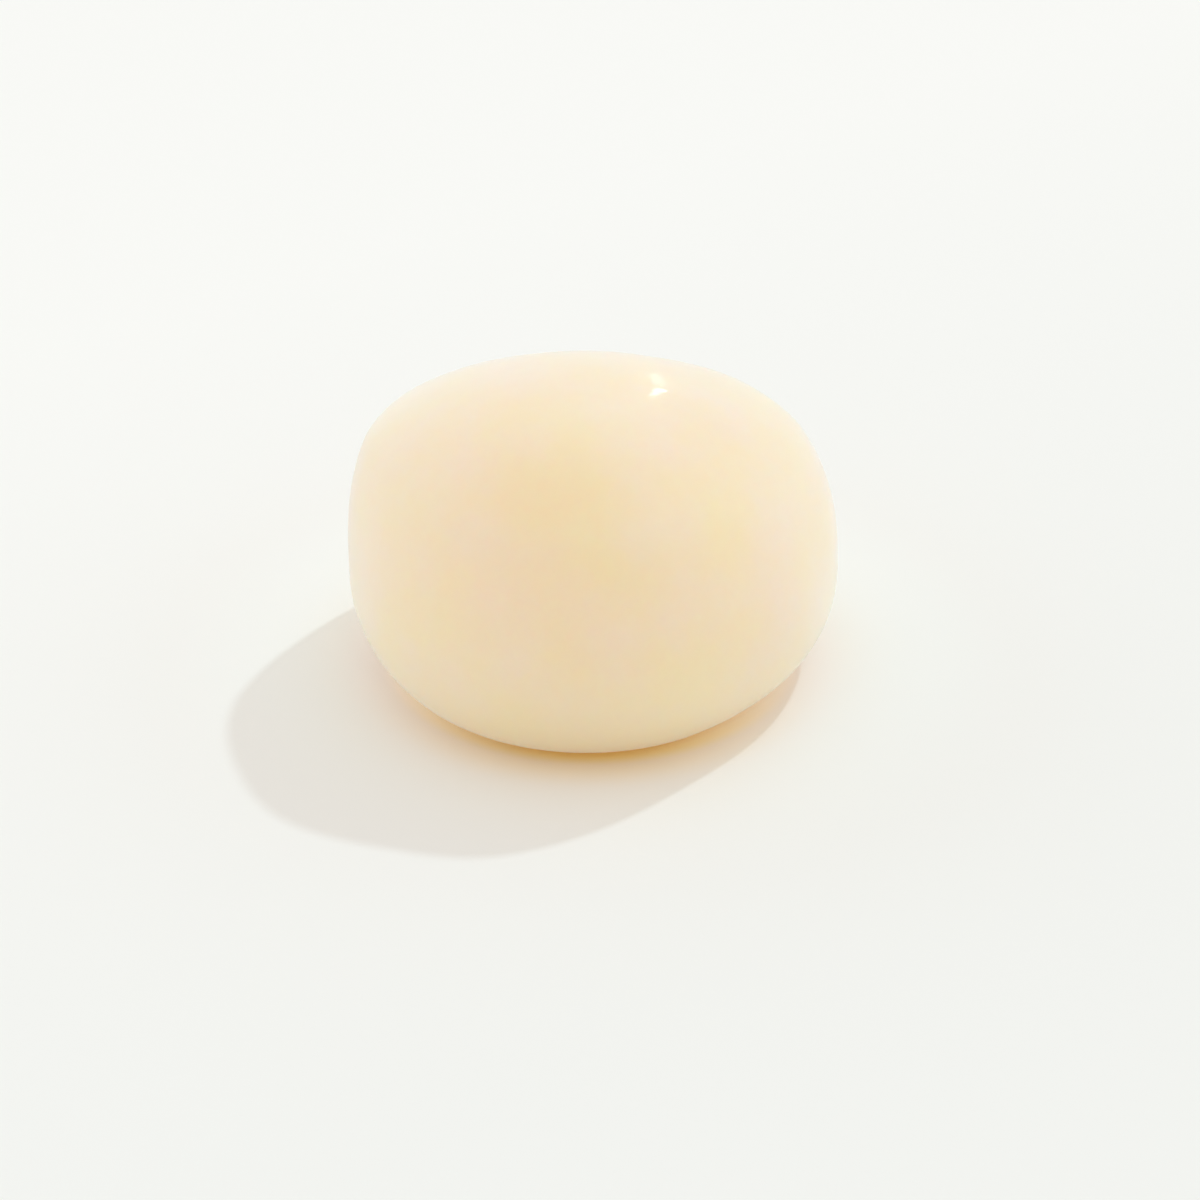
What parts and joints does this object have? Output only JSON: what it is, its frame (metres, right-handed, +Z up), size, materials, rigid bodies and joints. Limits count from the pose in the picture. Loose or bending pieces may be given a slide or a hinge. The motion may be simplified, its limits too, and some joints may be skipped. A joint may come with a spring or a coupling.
{
  "type": "shaving soap puck",
  "caption": "Domed round cake of shaving soap with a soft shoulder, a bulged wall and a flat foot to rest on.",
  "frame": {"origin": "where the puck's axis meets the flat foot, in the plane it rests on", "axes": "+Z up through the crown, -Y towards the front"},
  "size_m": [0.0649, 0.0641, 0.04],
  "materials": {
    "soap": "smooth cream soap with a soft sheen, slightly translucent"
  },
  "bodies": {
    "root": {"soap_puck": "soap"}
  },
  "joints": []
}
